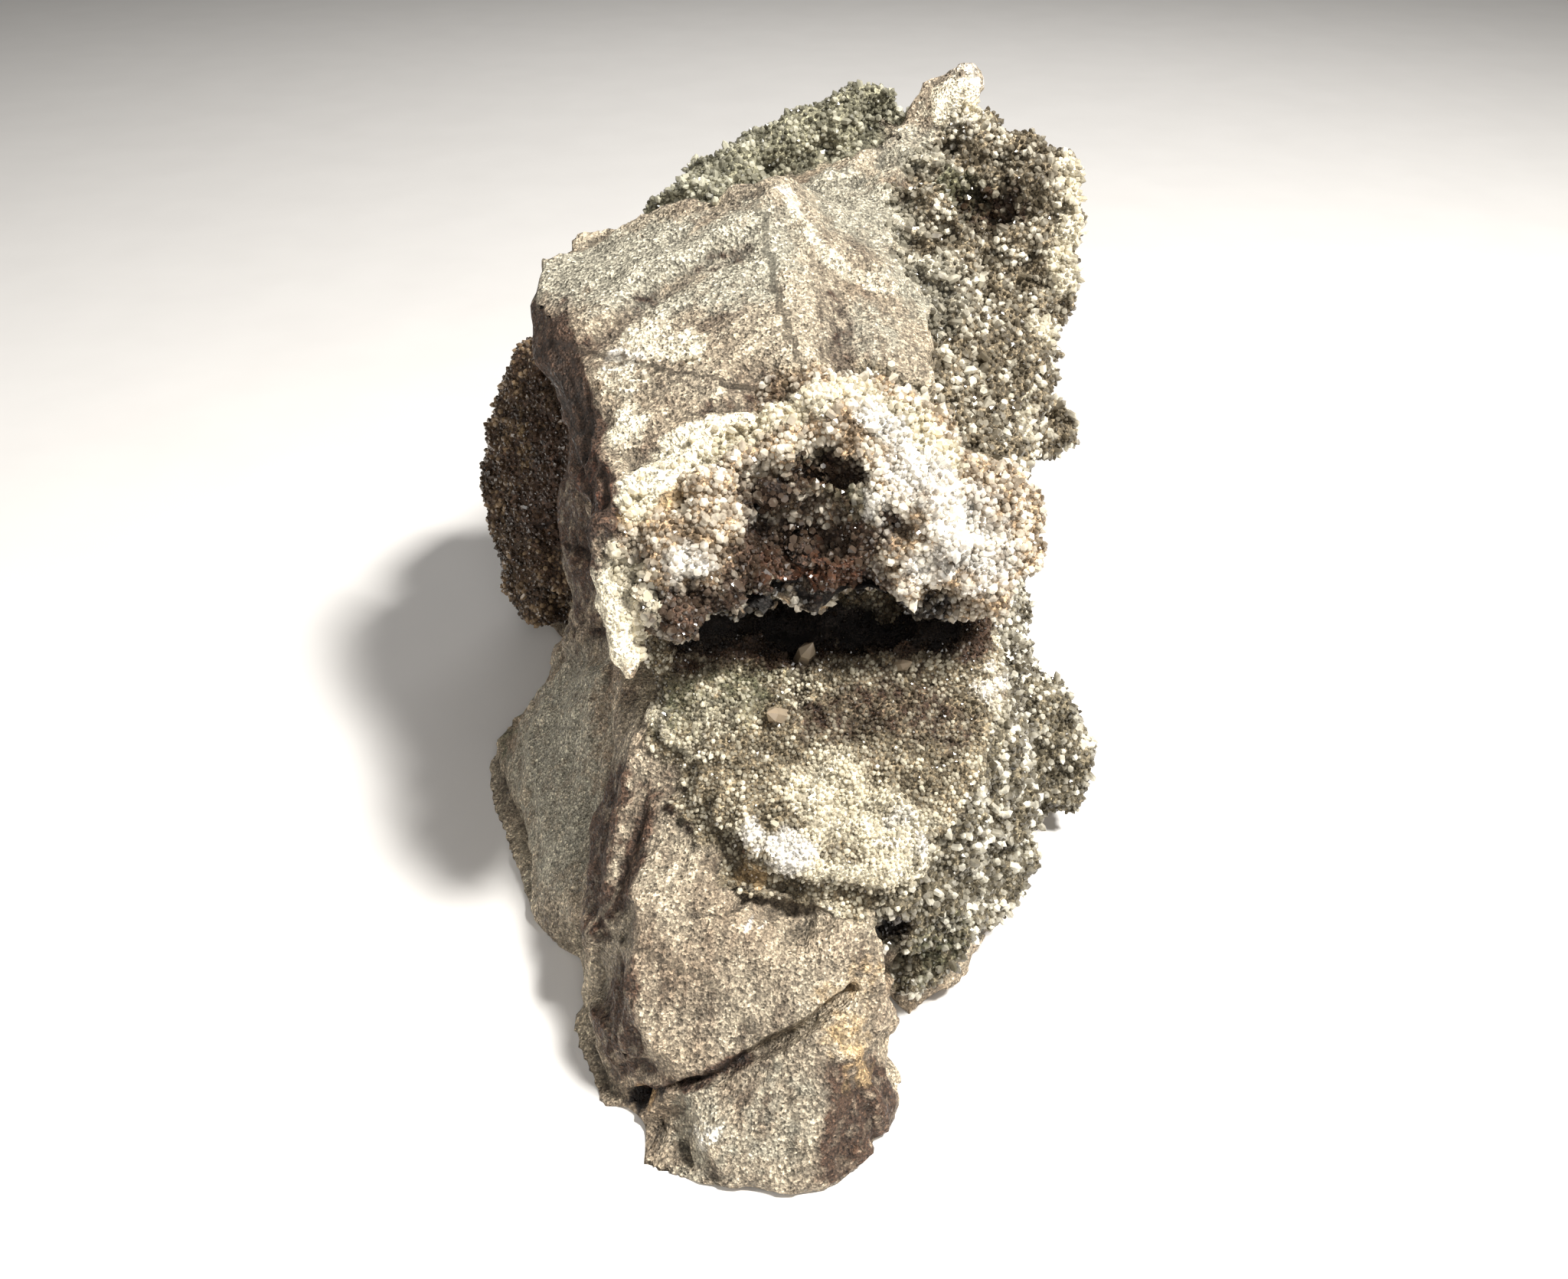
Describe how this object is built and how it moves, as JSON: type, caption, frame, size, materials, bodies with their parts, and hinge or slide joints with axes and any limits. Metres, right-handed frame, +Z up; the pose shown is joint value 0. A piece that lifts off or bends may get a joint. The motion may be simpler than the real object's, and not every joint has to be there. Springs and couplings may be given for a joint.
{
  "type": "quartz druzy specimen on rock matrix",
  "caption": "Fractured grey rock specimen whose cleft, ledge and flanks are crusted with small clear quartz crystals; rests on a flat underside.",
  "frame": {"origin": "centre of the outline seen from above, at the surface that the specimen stands on", "axes": "+Z up; -Y towards the narrow toe of the rock; +X to the right when the toe faces the viewer"},
  "size_m": [0.0743, 0.1037, 0.074],
  "materials": {
    "matrix_rock": "rough broken rock",
    "upper_druzy_crust": "glittering pale quartz druse",
    "top_druzy_crust": "dark greenish quartz druse",
    "lower_druzy_crust": "grey-green quartz druse",
    "rear_druzy_crust": "dark brown quartz druse"
  },
  "bodies": {
    "root": {"matrix_rock": "matrix_rock", "upper_druzy_crust": "upper_druzy_crust", "top_druzy_crust": "top_druzy_crust", "lower_druzy_crust": "lower_druzy_crust", "rear_druzy_crust": "rear_druzy_crust"}
  },
  "joints": []
}
